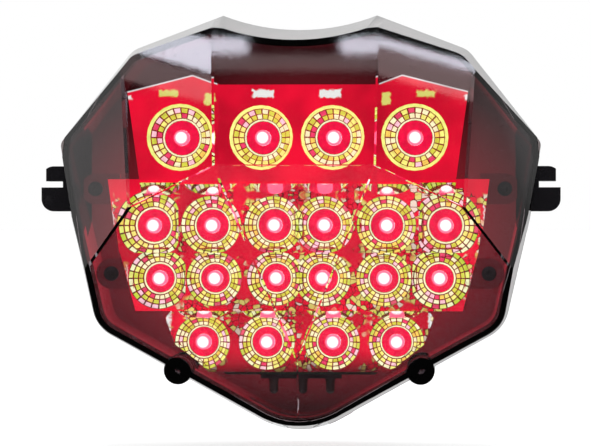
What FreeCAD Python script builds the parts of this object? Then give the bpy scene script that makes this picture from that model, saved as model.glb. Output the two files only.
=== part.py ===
"""Motorcycle tail light with a smoked faceted lens and rows of red LEDs.

Frame: +Z up, the lens faces -Y, +X to the viewer's right when facing the lens.
Origin: midway between the two threaded inserts, on the plane of their rear bosses.
All sizes are millimetres and live in the sheet "Sizes"; slopes are mm per mm.
"""
import FreeCAD, Part
import math
import os
import re

import Sketcher

DOC = FreeCAD.newDocument("tail_light")
SHEET = DOC.addObject("Spreadsheet::Sheet", "Sizes")
V = FreeCAD.Vector

SIZES = [
    # rim of the lens and housing, seen from the front, right half
    ("peak_across", 25.0), ("peak_up", 56.4), ("dip_up", 51.7),
    ("shoulder_across", 54.5), ("shoulder_up", 45.2), ("shoulder_round", 8.0),
    ("corner_across", 78.3), ("corner_up", 15.0), ("corner_round", 3.0),
    ("waist_across", 74.6), ("waist_up", -9.4), ("waist_round", 30.0),
    ("foot_across", 66.4), ("foot_up", -45.0), ("foot_round", 12.0),
    ("tip_up", -81.9), ("tip_round", 27.0),
    # depths behind the lens joint
    ("housing_depth", 28.0), ("boss_height", 4.0), ("housing_wall", 2.5), ("rear_wall", 2.5),
    ("housing_draft", 5.0), ("seal_thickness", 1.0), ("fit_gap", 0.2), ("lip_depth", 4.0),
    ("tongue_height", 3.0), ("tongue_wall", 1.2),
    # lens shell and its facets: distance of the facet's nose ahead of the joint, sweep back
    # towards the sides, rake back towards the top
    ("lens_wall", 2.5), ("lens_draft", 7.5), ("lens_blank", 60.0),
    ("brow_nose", 45.0), ("brow_sweep", 0.0), ("brow_rake", 0.14),
    ("chin_nose", 41.7), ("chin_sweep", 0.0), ("chin_rake", -0.33),
    ("cheek_nose", 60.98), ("cheek_sweep", 0.626), ("cheek_rake", 0.128),
    ("jaw_nose", 49.56), ("jaw_sweep", 0.344), ("jaw_rake", -0.471),
    ("wing_nose", 85.4), ("wing_sweep", 1.076), ("wing_rake", 0.098),
    ("fin_nose", 92.2), ("fin_sweep", 1.17), ("fin_rake", 0.13),
    # lens screw bosses below the lower edges
    ("lug_across", 39.2), ("lug_up", -58.6), ("lug_radius", 4.6), ("lug_height", 8.0),
    # side mounting ears with a slot for the tail section's plate
    ("ear_across", 84.5), ("ear_root", 70.0), ("ear_top", 7.5), ("ear_bottom", -7.2),
    ("ear_length", 14.0), ("ear_round", 4.0), ("slot_up", 1.6), ("slot_width", 2.0),
    ("slot_depth", 7.0), ("ear_step", 1.5),
    # LEDs
    ("led_diameter", 5.0), ("led_flange", 5.8), ("led_flange_height", 1.0), ("led_height", 8.6),
    ("lead_diameter", 0.5), ("lead_pitch", 2.54), ("lead_tail", 1.2), ("solder_radius", 1.0),
    ("top_row_up", 16.3), ("top_row_inner", 11.4), ("top_row_outer", 37.0),
    ("second_row_up", -11.4), ("second_row_inner", 8.1), ("second_row_middle", 28.0),
    ("second_row_outer", 47.0),
    ("third_row_up", -28.5), ("third_row_inner", 7.5), ("third_row_middle", 27.1),
    ("third_row_outer", 45.0),
    ("bottom_row_up", -49.2), ("bottom_row_inner", 10.4), ("bottom_row_outer", 31.1),
    # reflector: cup mouth and floor diameters, tier faces ahead of the joint, floor depths
    ("cup_floor", 10.5), ("reflector_wall", 1.2), ("cup_gap", 0.15),
    ("pod_cup", 21.4), ("middle_cup", 20.2), ("second_cup", 18.4), ("third_cup", 18.4),
    ("bottom_cup", 18.0),
    ("middle_face", 23.0), ("pod_face", 19.0), ("second_face", 12.0), ("third_face", 9.0),
    ("bottom_face", 5.0),
    ("top_floor", 10.0), ("mid_floor", 2.0), ("low_floor", -2.0),
    ("floor_to_board", 3.0), ("pillar_radius", 2.4), ("board_room", 0.8),
    ("flange_radius", 5.0), ("flange_thickness", 2.0), ("flange_back", 1.0), ("flange_web", 8.0),
    ("fix_upper_across", 68.0), ("fix_upper_up", 0.0), ("fix_lower_across", 63.5),
    ("fix_lower_up", -27.0), ("post_radius", 3.6),
    # reflector tiers seen from the front, right half
    ("middle_across", 25.0), ("middle_up", 33.0), ("tier_upper", 1.8), ("pod_across", 50.0),
    ("pod_flare", 4.0), ("pod_side_up", 31.0), ("pod_peak_across", 33.0), ("pod_peak_up", 36.3),
    ("tier_second", -20.2), ("second_across", 60.5), ("third_across", 57.5), ("tier_third", -39.0),
    ("third_foot", 52.5), ("bottom_across", 44.0), ("bottom_side", 42.5),
    ("bottom_side_up", -50.0), ("bottom_foot", 31.5), ("tier_bottom", -58.8),
    # circuit boards
    ("board_thickness", 1.6), ("board_hole", 0.9), ("screw_hole_radius", 1.4),
    ("upper_board_across", 49.0), ("upper_board_top", 31.5), ("upper_board_bottom", 3.4),
    ("middle_board_across", 53.5), ("middle_board_top", -2.5), ("middle_board_bottom", -37.5),
    ("lower_board_across", 36.0), ("lower_board_top", -42.5), ("lower_board_side", -50.0),
    ("lower_board_bottom", -60.0), ("lower_board_foot", 24.0),
    ("upper_pillar_across", 24.0), ("upper_pillar_high", 28.5), ("upper_pillar_low", 5.5),
    ("middle_pillar_outer", 37.3), ("middle_pillar_inner", 17.6), ("middle_pillar_up", -20.0),
    ("lower_pillar_across", 20.75), ("lower_pillar_up", -57.0),
    # number plate lamp
    ("plate_board_across", 13.0), ("plate_board_up", -61.5), ("plate_board_front", 9.5),
    ("plate_board_length", 12.0), ("plate_led_diameter", 3.0), ("plate_led_height", 5.3),
    ("plate_led_pitch", 9.0),
    ("window_across", 17.0), ("window_front", 4.0), ("window_length", 15.0),
    ("window_thickness", 2.2), ("window_proud", 0.6), ("tab_across", 4.5), ("tab_width", 5.0),
    ("tab_length", 3.0), ("tab_down", -79.2), ("rail_across", 3.0),
    # parts on the boards
    ("resistor_radius", 1.2), ("resistor_length", 6.3), ("resistor_pitch", 10.16),
    ("resistor_inner", 18.0), ("resistor_outer", 37.5), ("resistor_high", -5.5),
    ("resistor_low", -34.5), ("part_lift", 0.3), ("diode_high", 26.0), ("diode_low", 21.0),
    ("diode_radius", 1.35), ("diode_length", 5.2),
    ("driver_length", 6.2), ("driver_width", 5.0), ("driver_height", 1.7), ("driver_across", 27.5),
    ("capacitor_radius", 4.0), ("capacitor_height", 10.0), ("capacitor_across", 46.5),
    ("header_length", 10.2), ("header_width", 6.0), ("header_height", 7.0),
    ("link_radius", 0.7), ("link_bend", 2.4), ("link_reach", 7.0), ("link_rise", 5.0),
    ("link_pitch", 2.5), ("link_inset", 2.5),
    # rear hardware
    ("insert_spacing", 60.0), ("insert_bore", 2.5), ("insert_radius", 3.5),
    ("insert_length", 9.0), ("boss_radius", 7.0),
    ("rib_thickness", 1.8), ("rib_height", 2.2), ("rib_top", 38.0), ("rib_bottom", -44.0),
    ("inlet_up", -26.0), ("inlet_bore", 3.0), ("inlet_neck", 4.5), ("inlet_flange", 7.0),
    ("inlet_lip", 1.8),
    ("vent_across", 22.0), ("vent_up", 24.0), ("vent_bore", 2.0), ("vent_cap_radius", 5.5),
    ("vent_cap_height", 2.4), ("vent_cap_wall", 1.0), ("membrane_radius", 4.0),
    ("membrane_thickness", 0.3),
    # screws
    ("screw_radius", 1.1), ("screw_head_radius", 2.4), ("screw_head_height", 1.5),
    ("screw_length", 7.0), ("recess_radius", 1.1), ("recess_depth", 0.8),
    ("lens_screw_length", 12.0), ("lens_screw_grip", 7.0),
]


def fill_sheet():
    """Each size goes into the sheet as a plain number under its own alias."""
    for row, (name, number) in enumerate(SIZES, start=1):
        SHEET.set("A%d" % row, name)
        SHEET.set("B%d" % row, str(number))
        SHEET.setAlias("B%d" % row, name)
    DOC.recompute()


def size(text):
    """Value of an expression written with the sheet's aliases, such as "lens_wall * 2"."""
    return float(SHEET.evalExpression(bound(text)))


def bound(text):
    """The same expression with each alias prefixed by the sheet's name, for setExpression."""
    names = {name for name, _ in SIZES}
    return re.sub(
        "[a-z_]+", lambda found: "Sizes." * (found.group() in names) + found.group(), text
    )


def feature(name, kind, **properties):
    """A document object with its Label and properties set; text values are expressions."""
    made = DOC.addObject(kind, name)
    made.Label = name
    for key, given in properties.items():
        if isinstance(given, str) and key not in ("DirMode", "Join"):
            made.setExpression(key, bound(given))
        else:
            setattr(made, key, given)
    return made


def shaped(name, shape):
    """A Part::Feature that holds a shape worked out from the sheet."""
    made = DOC.addObject("Part::Feature", name)
    made.Label = name
    made.Shape = shape
    return made


def draw_polygon(sketch, corners):
    """A closed polygon whose corners are tied to expressions in the sheet."""
    points = [V(size(across), size(up), 0) for across, up in corners]
    count = len(points)
    for index in range(count):
        sketch.addGeometry(Part.LineSegment(points[index], points[(index + 1) % count]))
    for index in range(count):
        sketch.addConstraint(Sketcher.Constraint("Coincident", index, 2, (index + 1) % count, 1))
        for kind, given, at in (
            ("DistanceX", corners[index][0], points[index].x),
            ("DistanceY", corners[index][1], points[index].y),
        ):
            number = sketch.addConstraint(Sketcher.Constraint(kind, -1, 1, index, 1, at))
            sketch.setExpression("Constraints[%d]" % number, bound(given))


def draw_circle(sketch, across, up, radius):
    """A circle whose centre and radius are tied to expressions in the sheet."""
    centre = V(size(across), size(up), 0)
    circle = sketch.addGeometry(Part.Circle(centre, V(0, 0, 1), size(radius)))
    for kind, given, at in (("DistanceX", across, centre.x), ("DistanceY", up, centre.y)):
        number = sketch.addConstraint(Sketcher.Constraint(kind, -1, 1, circle, 3, at))
        sketch.setExpression("Constraints[%d]" % number, bound(given))
    number = sketch.addConstraint(Sketcher.Constraint("Radius", circle, size(radius)))
    sketch.setExpression("Constraints[%d]" % number, bound(radius))


def body(name):
    """An empty PartDesign body."""
    made = DOC.addObject("PartDesign::Body", name)
    made.Label = name
    return made


def sketch_in(host, plane, offset="0"):
    """A sketch on one of the body's own origin planes, moved along its normal by offset."""
    made = host.newObject("Sketcher::SketchObject", host.Name + "_sketch")
    support = next(f for f in host.Origin.OriginFeatures if f.Role == plane)
    made.AttachmentSupport = [(support, "")]
    made.MapMode = "FlatFace"
    made.setExpression("AttachmentOffset.Base.z", bound(offset))
    return made


def slab(name, corners, back, thickness):
    """A body padded towards -Y from the plane y = back, from a polygon seen from the front."""
    host = body(name)
    outline = sketch_in(host, "XZ_Plane", "0 - (" + back + ")")
    draw_polygon(outline, corners)
    pad = host.newObject("PartDesign::Pad", name + "_pad")
    pad.Profile = outline
    pad.setExpression("Length", bound(thickness))
    DOC.recompute()
    return host


def turned(name, profile, across="0", along="0", up="0"):
    """A body turned about the Y direction: profile gives radius and y for each corner."""
    host = body(name)
    outline = sketch_in(host, "XY_Plane")
    draw_polygon(outline, profile)
    spin = host.newObject("PartDesign::Revolution", name + "_spin")
    spin.Profile = outline
    spin.ReferenceAxis = (outline, ["V_Axis"])
    spin.Angle = 360
    for axis, given in (("x", across), ("y", along), ("z", up)):
        host.setExpression("Placement.Base." + axis, bound(given))
    DOC.recompute()
    return host


def box(corner, opposite):
    """A box between two corners given as expressions."""
    low = V(*[min(size(a), size(b)) for a, b in zip(corner, opposite)])
    high = V(*[max(size(a), size(b)) for a, b in zip(corner, opposite)])
    return Part.makeBox(high.x - low.x, high.y - low.y, high.z - low.z, low)


def rod(across, front, back, up, radius):
    """A cylinder along Y between two depths; all numbers."""
    return Part.makeCylinder(radius, back - front, V(across, front, up), V(0, 1, 0))


def cone(across, front, back, up, front_radius, back_radius):
    """A cone along Y between two depths; all numbers."""
    return Part.makeCone(front_radius, back_radius, back - front, V(across, front, up), V(0, 1, 0))


def both_sides(places):
    """Each place given for the right side, and its mirror image on the left."""
    return [(side * across, up) for across, up in places for side in (1, -1)]


# ---------------------------------------------------------------- places shared by the pieces

JOINT = "(0 - housing_depth - boss_height)"  # plane where the lens meets the housing


def ahead(name):
    """Depth of a plane that lies a named distance ahead of the lens joint."""
    return size(JOINT + " - " + name)


def led_rows():
    """For each row of LEDs: its name, places, floor depth, face depths and cup diameters."""
    top = size("top_row_up")
    second = size("second_row_up")
    third = size("third_row_up")
    bottom = size("bottom_row_up")
    return [
        ("top_row", "top_floor", [
            (size("top_row_inner"), top, "middle_face", "middle_cup"),
            (size("top_row_outer"), top, "pod_face", "pod_cup"),
        ]),
        ("second_row", "mid_floor", [
            (size("second_row_" + place), second, "second_face", "second_cup")
            for place in ("inner", "middle", "outer")
        ]),
        ("third_row", "mid_floor", [
            (size("third_row_" + place), third, "third_face", "third_cup")
            for place in ("inner", "middle", "outer")
        ]),
        ("bottom_row", "low_floor", [
            (size("bottom_row_" + place), bottom, "bottom_face", "bottom_cup")
            for place in ("inner", "outer")
        ]),
    ]


def board_front(floor):
    """Depth of a board's front face, a fixed gap behind the cup floors that it serves."""
    return ahead(floor) + size("floor_to_board")


def pillars():
    """Screw pillars between the reflector and each board: places, tier face and floor."""
    upper = [(size("upper_pillar_across"), size("upper_pillar_high")),
             (size("upper_pillar_across"), size("upper_pillar_low"))]
    middle = [(size("middle_pillar_outer"), size("middle_pillar_up")),
              (size("middle_pillar_inner"), size("middle_pillar_up"))]
    lower = [(size("lower_pillar_across"), size("lower_pillar_up"))]
    return [
        ("pod_face", "top_floor", both_sides(upper)),
        ("third_face", "mid_floor", both_sides(middle)),
        ("bottom_face", "low_floor", both_sides(lower)),
    ]


# ---------------------------------------------------------------- outline of the lens rim

def round_corner(before, corner, after, radius):
    """Start, middle and end of the arc that rounds a corner between two straight runs."""
    towards_before = (before - corner).normalize()
    towards_after = (after - corner).normalize()
    half = towards_before.getAngle(towards_after) / 2
    run = radius / math.tan(half)
    inward = (towards_before + towards_after).normalize()
    middle = corner + inward * (radius / math.sin(half) - radius)
    return corner + towards_before * run, middle, corner + towards_after * run


def rim_wire(depth):
    """The closed outline of the rim at a depth: concave arc on top, rounded corners below."""
    side = [("peak", 0), ("shoulder", 1), ("corner", 1), ("waist", 1), ("foot", 1)]
    right = [
        (V(size(name + "_across"), depth, size(name + "_up")), size(name + "_round") if rounded else 0)
        for name, rounded in side
    ]
    tip = (V(0, depth, size("tip_up")), size("tip_round"))
    left = [(V(-point.x, depth, point.z), radius) for point, radius in reversed(right)]
    chain = right + [tip] + left
    edges = []
    start = chain[0][0]
    for index in range(1, len(chain) - 1):
        arc = round_corner(chain[index - 1][0], chain[index][0], chain[index + 1][0], chain[index][1])
        edges.append(Part.makeLine(start, arc[0]))
        edges.append(Part.Arc(*arc).toShape())
        start = arc[2]
    edges.append(Part.makeLine(start, chain[-1][0]))
    edges.append(Part.Arc(chain[-1][0], V(0, depth, size("dip_up")), chain[0][0]).toShape())
    return Part.Wire(edges)


def rim_prism(name, rim, inset, ahead_by, behind_by, draft="0"):
    """A solid with the rim's outline moved inwards, from ahead of the joint to behind it."""
    outline = feature(name + "_outline", "Part::Offset2D", Source=rim, Join="Intersection")
    outline.setExpression("Value", bound("0 - (" + inset + ")"))
    return feature(
        name, "Part::Extrusion", Base=outline, DirMode="Custom", Dir=V(0, -1, 0), Solid=True,
        LengthFwd=ahead_by, LengthRev=behind_by, TaperAngle="0 - " + draft,
        TaperAngleRev="0 - " + draft,
    )


def plan_prism(outline, front, back, inset=0.0):
    """A prism along Y from an outline seen from the front, optionally moved inwards."""
    points = [V(x, front, z) for x, z in outline]
    wire = Part.makePolygon(points + points[:1])
    if inset:
        wire = wire.makeOffset2D(-inset, join=2)
    return Part.Face(wire).extrude(V(0, back - front, 0))


# ---------------------------------------------------------------- lens

FACETS = ("brow", "chin", "cheek", "jaw", "wing", "fin")


def facet_tool(name, facet, inset):
    """The space ahead of a pair of mirrored facet planes, drawn square to their shared keel.

    The keel leans by the facet's rake, so lengths across it shrink by the lean's cosine.
    """
    lean = "cos(atan(%s_rake))" % facet
    slant = "sqrt(1 + %s_sweep ^ 2 + %s_rake ^ 2)" % (facet, facet)
    nose = "(%s - %s_nose + (%s) * %s)" % (JOINT, facet, inset, slant)
    reach = "(corner_across * 2)"
    far = "(0 - lens_blank * 4)"
    flank = "%s * %s + %s * %s_sweep * %s" % (nose, lean, reach, facet, lean)
    outline = DOC.addObject("Sketcher::SketchObject", name + "_sketch")
    draw_polygon(outline, [
        ("0", nose + " * " + lean), (reach, flank), (reach, far), ("0 - " + reach, far),
        ("0 - " + reach, flank),
    ])
    angle = math.degrees(math.atan(size(facet + "_rake")))
    outline.Placement = FreeCAD.Placement(V(0, 0, 0), FreeCAD.Rotation(V(1, 0, 0), -angle))
    return feature(
        name, "Part::Extrusion", Base=outline, DirMode="Normal", Solid=True, Symmetric=True,
        LengthFwd="lens_blank * 6",
    )


def lens_form(name, rim, inset):
    """The lens's outer form moved inwards: the drafted rim prism cut by every facet pair."""
    form = rim_prism(name + "_blank", rim, inset, "lens_blank", "0", "lens_draft")
    for facet in FACETS:
        tool = facet_tool("%s_%s" % (name, facet), facet, inset)
        form = feature("%s_to_%s" % (name, facet), "Part::Cut", Base=form, Tool=tool)
        DOC.recompute()
    return form


def lens_lugs(front, back, radius):
    """Round bosses below the lower edges where the lens and housing are screwed together."""
    return [
        rod(across, front, back, up, radius)
        for across, up in both_sides([(size("lug_across"), size("lug_up"))])
    ]


def make_lens(rim):
    """Smoked shell: outer form less inner form, with two screw bosses that keep blind holes."""
    outer = lens_form("lens_outer", rim, "0")
    inner = lens_form("lens_inner", rim, "lens_wall")
    joint = size(JOINT)
    shell = outer.Shape.cut(inner.Shape)
    bosses = lens_lugs(joint - size("lug_height"), joint, size("lug_radius"))
    shell = shell.fuse(bosses)
    depth = size("lens_screw_length - lens_screw_grip - seal_thickness")
    holes = lens_lugs(joint - depth - size("fit_gap"), joint, size("screw_radius"))
    return shaped("lens", shell.cut(holes).removeSplitter())


# ---------------------------------------------------------------- housing and seal

REAR = "(0 - boss_height)"  # outer face of the rear wall


def make_seal(rim):
    """Ring of sealant between the lens rim and the housing."""
    outer = rim_prism("seal_outer", rim, "fit_gap / 2", "0", "seal_thickness")
    inner = rim_prism("seal_inner", rim, "lens_wall", "0", "seal_thickness")
    DOC.recompute()
    joint = size(JOINT)
    back = joint + size("seal_thickness")
    ring = outer.Shape.cut(inner.Shape).fuse(lens_lugs(joint, back, size("lug_radius")))
    return shaped("lens_seal", ring.cut(lens_lugs(joint - 1, back + 1, size("screw_hole_radius"))))


def ear(side):
    """Side mounting ear: a block with rounded outer corners and a slot open at its outer edge."""
    front = "%s + seal_thickness" % JOINT
    block = box(("ear_root", front, "ear_bottom"), ("ear_across", front + " + ear_length", "ear_top"))
    outer_edges = [
        edge for edge in block.Edges
        if all(vertex.Point.x > size("ear_across") - 0.1 for vertex in edge.Vertexes)
        and abs(edge.Vertexes[0].Point.y - edge.Vertexes[1].Point.y) > 1
    ]
    block = block.makeFillet(size("ear_round"), outer_edges)
    upper_step = box(
        ("ear_across - ear_step", front, "slot_up"),
        ("ear_across + 1", front + " + ear_length", "ear_top + 1"),
    )
    slot = box(
        ("ear_across - slot_depth", front, "slot_up - slot_width / 2"),
        ("ear_across + 1", front + " + ear_length", "slot_up + slot_width / 2"),
    )
    block = block.cut([upper_step, slot])
    return block if side > 0 else block.mirror(V(0, 0, 0), V(1, 0, 0))


def reflector_fixings():
    """Places where the reflector is screwed to posts in the housing."""
    return both_sides([
        (size("fix_upper_across - lens_wall"), size("fix_upper_up")),
        (size("fix_lower_across - lens_wall"), size("fix_lower_up")),
    ])


def window_zone(side_gap):
    """The box at the bottom tip that the number plate window fills."""
    front = "%s + window_front" % JOINT
    return box(
        ("0 - window_across - " + side_gap, front, "tip_up * 1.2"),
        ("window_across + " + side_gap, front + " + window_length", "plate_board_up"),
    )


def plate_rail(side):
    """Rail with a groove that holds one end of the number plate board."""
    front = JOINT + " + plate_board_front"
    rail = box(
        ("plate_board_across - rail_across / 2", front, "plate_board_up - rail_across"),
        ("plate_board_across + rail_across / 2", REAR, "plate_board_up + board_thickness + rail_across"),
    )
    return rail if side > 0 else rail.mirror(V(0, 0, 0), V(1, 0, 0))


def rear_ribs():
    """Stiffening ribs on the rear wall: one between the bosses and one through each boss."""
    half, thick = "insert_spacing / 2", "rib_thickness / 2"
    ribs = [box(("0 - " + half, REAR, "0 - " + thick), (half, REAR + " + rib_height", thick))]
    for side in ("0 - ", ""):
        across = side + half
        ribs.append(box((across + " - " + thick, REAR, "rib_bottom"),
                        (across + " + " + thick, REAR + " + rib_height", "rib_top")))
    return ribs


def make_housing(rim):
    """Moulded tray with a locating tongue, ears, screw posts, bosses and openings at the back."""
    joint = size(JOINT)
    inner_rim = "lens_wall + fit_gap + tongue_wall"
    tray = rim_prism("tray_outer", rim, "0", "0", "housing_depth", "housing_draft")
    hollow = rim_prism(
        "tray_hollow", rim, "housing_wall", "0", "housing_depth - rear_wall", "housing_draft"
    )
    lip = rim_prism("lip_outer", rim, "0", "0", "lip_depth", "housing_draft")
    lip_hollow = rim_prism("lip_hollow", rim, inner_rim, "tongue_height", "lip_depth", "lens_draft")
    tongue = rim_prism(
        "tongue", rim, "lens_wall + fit_gap", "tongue_height", "seal_thickness", "lens_draft"
    )
    facet_room = [facet_tool("room_" + facet, facet, "lens_wall + fit_gap") for facet in FACETS]
    ledge = rim_prism("seal_ledge", rim, "0 - 1", "0", "seal_thickness")
    ledge_core = rim_prism("seal_ledge_core", rim, "lens_wall + fit_gap", "0", "seal_thickness")
    DOC.recompute()

    rear = size(REAR)
    shape = tray.Shape.fuse([ear(1), ear(-1)]).cut(hollow.Shape)
    shape = shape.fuse(lip.Shape.cut(lip_hollow.Shape))
    shape = shape.cut(ledge.Shape.cut(ledge_core.Shape))
    locating = tongue.Shape.cut(lip_hollow.Shape).cut([tool.Shape for tool in facet_room])
    shape = shape.fuse(locating)

    lug_front = joint + size("seal_thickness")
    seat = lug_front + size("lens_screw_grip")
    shape = shape.cut(lens_lugs(joint - size("lug_height"), lug_front, size("lug_radius + fit_gap")))
    shape = shape.fuse(lens_lugs(lug_front, rear, size("lug_radius")))
    shape = shape.cut(
        lens_lugs(lug_front - 1, seat + 1, size("screw_hole_radius"))
        + lens_lugs(seat, rear + 1, size("screw_head_radius + fit_gap"))
    )

    post_front = joint + size("flange_back")
    posts = [rod(x, post_front, rear - 0.5, z, size("post_radius")) for x, z in reflector_fixings()]
    inserts = both_sides([(size("insert_spacing / 2"), 0.0)])
    boss_front = 0 - size("insert_length + rear_wall")
    bosses = [rod(x, boss_front, 0, z, size("boss_radius")) for x, z in inserts]
    rails = [plate_rail(1), plate_rail(-1)]
    tray_core = tray.Shape
    rails = [rail.common(tray_core) for rail in rails]
    shape = shape.fuse(posts + bosses + rails + rear_ribs())

    pilots = [
        rod(x, post_front, post_front + size("screw_length"), z, size("screw_radius"))
        for x, z in reflector_fixings()
    ]
    insert_holes = [
        rod(x, 0 - size("insert_length"), 0, z, size("insert_radius")) for x, z in inserts
    ]
    inlet = rod(0, rear - size("rear_wall") - 1, rear + 1, size("inlet_up"), size("inlet_neck"))
    vent = rod(
        size("vent_across"), rear - size("rear_wall") - 1, rear + 1, size("vent_up"), size("vent_bore")
    )
    board_groove = box(
        ("0 - plate_board_across", JOINT + " + plate_board_front", "plate_board_up"),
        ("plate_board_across", JOINT + " + plate_board_front + plate_board_length",
         "plate_board_up + board_thickness"),
    )
    shape = shape.cut(pilots + insert_holes + [inlet, vent, board_groove, window_zone("0")])
    return shaped("housing", shape)


def make_window(rim):
    """Clear window around the bottom tip, standing slightly proud, with two small tabs."""
    outer = rim_prism("window_outer", rim, "0 - window_proud", "0", "housing_depth", "housing_draft")
    inner = rim_prism(
        "window_inner", rim, "window_thickness", "0", "housing_depth", "housing_draft"
    )
    DOC.recompute()
    shape = outer.Shape.cut(inner.Shape).common(window_zone("0"))
    front = "%s + window_front" % JOINT
    top = "tip_up + tip_round / 4"
    for side in (1, -1):
        tab = box(
            ("tab_across", front, "tab_down"), ("tab_across + tab_width", front + " + tab_length", top)
        )
        shape = shape.fuse(tab if side > 0 else tab.mirror(V(0, 0, 0), V(1, 0, 0)))
    return shaped("plate_window", shape.removeSplitter())


# ---------------------------------------------------------------- reflector

def tiers():
    """Each step of the reflector: its face, and its outline seen from the front."""
    mid, pod = "middle_face", "pod_face"
    upper, second = size("tier_upper"), size("tier_second")
    third, bottom = size("tier_third"), size("tier_bottom")
    half = size("middle_across")
    pod_half = [
        (half, upper), (size("pod_across"), upper), (size("pod_across + pod_flare"), size("pod_side_up")),
        (size("pod_peak_across"), size("pod_peak_up")), (half + 2, size("middle_up")),
        (half, size("middle_up")),
    ]
    symmetric = [
        (mid, [(half, upper), (half, size("middle_up"))]),
        ("second_face", [(size("third_across"), second), (size("second_across"), upper)]),
        ("third_face", [(size("third_foot"), third), (size("third_across"), second)]),
        ("bottom_face", [
            (size("bottom_foot - lens_wall"), bottom), (size("bottom_side - lens_wall"), size("bottom_side_up")),
            (size("bottom_across"), third),
        ]),
    ]
    outlines = [(face, half_side + [(-x, z) for x, z in reversed(half_side)])
                for face, half_side in symmetric]
    outlines.append((pod, pod_half))
    outlines.append((pod, [(-x, z) for x, z in reversed(pod_half)]))
    return outlines


def board_rooms(back):
    """Space cut out of the reflector's inner walls for the boards and the wires between them."""
    gap = "board_room"
    rooms = []
    for floor, name, bottom in (
        ("top_floor", "upper_board", "upper_board_bottom"),
        ("mid_floor", "middle_board", "middle_board_bottom"),
        ("low_floor", "lower_board", "lower_board_bottom"),
    ):
        across = "%s_across + %s" % (name, gap)
        front = "%s - %s + floor_to_board" % (JOINT, floor)
        if size(front) < back:
            rooms.append(box(
                ("0 - (" + across + ")", front, bottom + " - " + gap),
                (across, "0", name + "_top + " + gap),
            ))
    reach = "link_pitch + link_radius + " + gap
    rooms.append(box(
        ("0 - (" + reach + ")", JOINT + " - top_floor + floor_to_board", "middle_board_top - link_inset * 2"),
        (reach, "0", "upper_board_bottom + link_inset * 2"),
    ))
    return rooms


def reflector_room(rim):
    """What the reflector may fill: the lens's inside, then the tongue's, then all of the space behind."""
    clear_of_tongue = "tongue_height + fit_gap"
    within_lens = lens_form("reflector_room", rim, "lens_wall + fit_gap")
    within_tongue = rim_prism(
        "reflector_foot", rim, "lens_wall + tongue_wall + fit_gap * 2", clear_of_tongue, "lip_depth",
        "lens_draft"
    )
    DOC.recompute()
    rooms = [
        box(("0 - corner_across", front, "tip_up"), ("corner_across", "0", "corner_across"))
        for front in ("%s - (%s)" % (JOINT, clear_of_tongue), JOINT + " + lip_depth")
    ]
    return within_lens.Shape.cut(rooms[0]).fuse([within_tongue.Shape, rooms[1]])


def make_reflector(rim):
    """Metallised stepped moulding: open trays with a cup and a hole for each LED."""
    wall = size("reflector_wall")
    back = size(JOINT + " + flange_back")
    trays, cups, bowls, holes = [], [], [], []
    for face, outline in tiers():
        front = ahead(face)
        inside = plan_prism(outline, front + wall, back, wall)
        trays.append(plan_prism(outline, front, back).cut(inside))
    for _, floor, lamps in led_rows():
        depth = ahead(floor)
        for across, up, face, cup in lamps:
            mouth, base = size(cup + " / 2"), size("cup_floor / 2")
            for x, z in both_sides([(across, up)]):
                cups.append(cone(x, ahead(face), depth + wall, z, mouth + wall, base + wall))
                bowls.append(cone(x, ahead(face), depth, z, mouth, base))
                hole = size("led_diameter / 2 + cup_gap")
                holes.append(rod(x, depth - 1, depth + wall + 1, z, hole))
    studs, pilots = [], []
    for face, floor, places in pillars():
        end = board_front(floor)
        for x, z in places:
            studs.append(rod(x, ahead(face) + wall / 2, end, z, size("pillar_radius")))
            pilots.append(rod(x, end - size("screw_length"), end, z, size("screw_radius")))
    flange_front = back - size("flange_thickness")
    flanges, flange_holes = [], []
    for x, z in reflector_fixings():
        web = size("flange_radius - 1")
        reach = x - math.copysign(size("flange_web"), x)
        flanges.append(rod(x, flange_front, back, z, size("flange_radius")))
        corner = V(min(x, reach), flange_front, z - web)
        flanges.append(Part.makeBox(abs(x - reach), back - flange_front, 2 * web, corner))
        flange_holes.append(rod(x, flange_front - 1, back + 1, z, size("screw_hole_radius")))
    shape = trays[0].fuse(trays[1:] + cups).cut(board_rooms(back)).fuse(studs + flanges)
    joint = size(JOINT)
    reliefs = lens_lugs(joint - size("lug_height"), back + 1, size("lug_radius + fit_gap"))
    reliefs += lens_lugs(back, size(REAR), size("lug_radius + fit_gap"))
    shape = shape.common(reflector_room(rim)).cut(bowls).cut(holes + pilots + flange_holes).cut(reliefs)
    return shaped("reflector", shape.removeSplitter())


# ---------------------------------------------------------------- LEDs and boards

def led(x, base, z, diameter, height, direction):
    """One LED: round body with a domed tip and a collar at its base, pointing along direction."""
    radius = diameter / 2
    foot = V(x, base, z)
    collar = size("led_flange / led_diameter") * radius
    stem = Part.makeCylinder(radius, height - radius, foot, direction)
    rim = Part.makeCylinder(collar, size("led_flange_height"), foot, direction)
    dome = Part.makeSphere(radius, foot + direction * (height - radius))
    return stem.fuse([rim, dome]).removeSplitter()


def lead(x, base, z, direction):
    """One LED lead through its board, with the solder cone on the far side."""
    board = size("board_thickness")
    radius = size("lead_diameter / 2")
    foot = V(x, base, z)
    pin = Part.makeCylinder(radius, board + size("lead_tail"), foot, direction)
    solder = Part.makeCone(
        size("solder_radius"), radius, size("lead_tail * 0.7"), foot + direction * board, direction
    )
    return pin.fuse(solder).removeSplitter()


def row_places(lamps):
    return both_sides([(across, up) for across, up, _, _ in lamps])


def make_leds():
    """One node for each row of red LEDs."""
    made = []
    for name, floor, lamps in led_rows():
        base = board_front(floor)
        bodies = [
            led(x, base, z, size("led_diameter"), size("led_height"), V(0, -1, 0))
            for x, z in row_places(lamps)
        ]
        made.append(shaped("leds_" + name, Part.makeCompound(bodies)))
    return made


def plate_led_places():
    """Places of the three white LEDs under the number plate board."""
    middle = size(JOINT + " + plate_board_front + plate_board_length / 2")
    return [(step * size("plate_led_pitch"), middle) for step in (-1, 0, 1)]


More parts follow.
